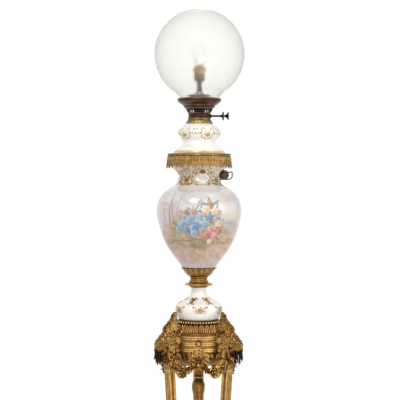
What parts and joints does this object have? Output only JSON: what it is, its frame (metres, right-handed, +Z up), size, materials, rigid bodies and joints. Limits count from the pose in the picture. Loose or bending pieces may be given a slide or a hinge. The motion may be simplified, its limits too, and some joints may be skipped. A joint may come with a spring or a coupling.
{
  "type": "floor lamp",
  "caption": "Gilt-bronze tripod floor lamp with ram's heads and rose garlands, a painted porcelain vase, an oil-type burner wired for a bulb and a frosted globe shade",
  "frame": {"origin": "on the floor, on the axis of the vase and the globe", "axes": "+Z is up; the front, between two of the legs, looks along -Y; the wick winder points along +X"},
  "size_m": [0.332, 0.2874, 1.6423],
  "materials": {
    "gilt_bronze": "worn gilding over cast bronze, satin",
    "dark_bronze": "dark red-brown patina, semi-gloss",
    "white_porcelain": "glossy glaze with gilt scrolls",
    "painted_porcelain": "glossy glaze over a hand-painted landscape",
    "frosted_glass": "acid frosted",
    "clear_glass": "clear",
    "holder_brass": "dull brass",
    "adaptor_steel": "dull grey",
    "steel": "plain",
    "flex_fabric": "braided cotton",
    "tie_cloth": "woven tape",
    "brown_bakelite": "moulded, polished"
  },
  "bodies": {
    "stand": {"base_plinth": "gilt_bronze", "base_step": "gilt_bronze", "stretcher": "gilt_bronze", "stretcher_urn": "gilt_bronze", "bowl_rim": "gilt_bronze", "bowl_drum": "gilt_bronze", "bowl_calyx": "gilt_bronze", "swag_hooks": "gilt_bronze", "drop_finial": "gilt_bronze", "socle_flange": "gilt_bronze", "socle_collar": "gilt_bronze", "gallery_band": "gilt_bronze", "gallery_cove": "gilt_bronze", "burner_collar": "gilt_bronze", "hoof_leg_left": "gilt_bronze", "hoof_leg_right": "gilt_bronze", "hoof_leg_back": "gilt_bronze", "leg_left": "gilt_bronze", "leg_right": "gilt_bronze", "leg_back": "gilt_bronze", "ram_head_left": "gilt_bronze", "ram_head_right": "gilt_bronze", "ram_head_back": "gilt_bronze", "console_left": "gilt_bronze", "console_right": "gilt_bronze", "console_back": "gilt_bronze", "swag_front": "gilt_bronze", "swag_right": "gilt_bronze", "swag_left": "gilt_bronze", "burner_base": "dark_bronze", "burner_basket": "dark_bronze", "shade_gallery": "dark_bronze", "wick_tube": "dark_bronze", "winder_bush": "dark_bronze", "porcelain_foot": "white_porcelain", "font_cover": "white_porcelain", "vase_body": "painted_porcelain", "bulb_glass": "clear_glass", "lampholder": "holder_brass", "lampholder_ring": "holder_brass", "lampholder_stem": "holder_brass", "bulb_cap": "holder_brass", "flex_bush": "holder_brass", "plug_pins": "holder_brass", "lamp_adaptor": "adaptor_steel", "base_bolts": "steel", "leg_dowels": "steel", "head_screws": "steel", "tie_rod": "steel", "rod_washer": "steel", "rod_nut": "steel", "internal_flex": "flex_fabric", "supply_flex": "flex_fabric", "flex_hank": "flex_fabric", "plug_flex": "flex_fabric", "hank_tie": "tie_cloth", "plug_body": "brown_bakelite"},
    "globe": {"globe_shade": "frosted_glass"},
    "outer_winder": {"winder_sleeve": "dark_bronze"},
    "inner_winder": {"winder_shaft": "dark_bronze"}
  },
  "joints": [
    {"name": "globe_lift", "type": "slide", "parent": "stand", "child": "globe", "axis": [0, 0, 1], "range_m": [0, 0.2]},
    {"name": "outer_winder_turn", "type": "hinge", "parent": "stand", "child": "outer_winder", "pos_m": [0.0304, 0, 1.38], "axis": [1, 0, 0], "continuous": true},
    {"name": "inner_winder_turn", "type": "hinge", "parent": "stand", "child": "inner_winder", "pos_m": [0.0304, 0, 1.38], "axis": [1, 0, 0], "continuous": true}
  ]
}
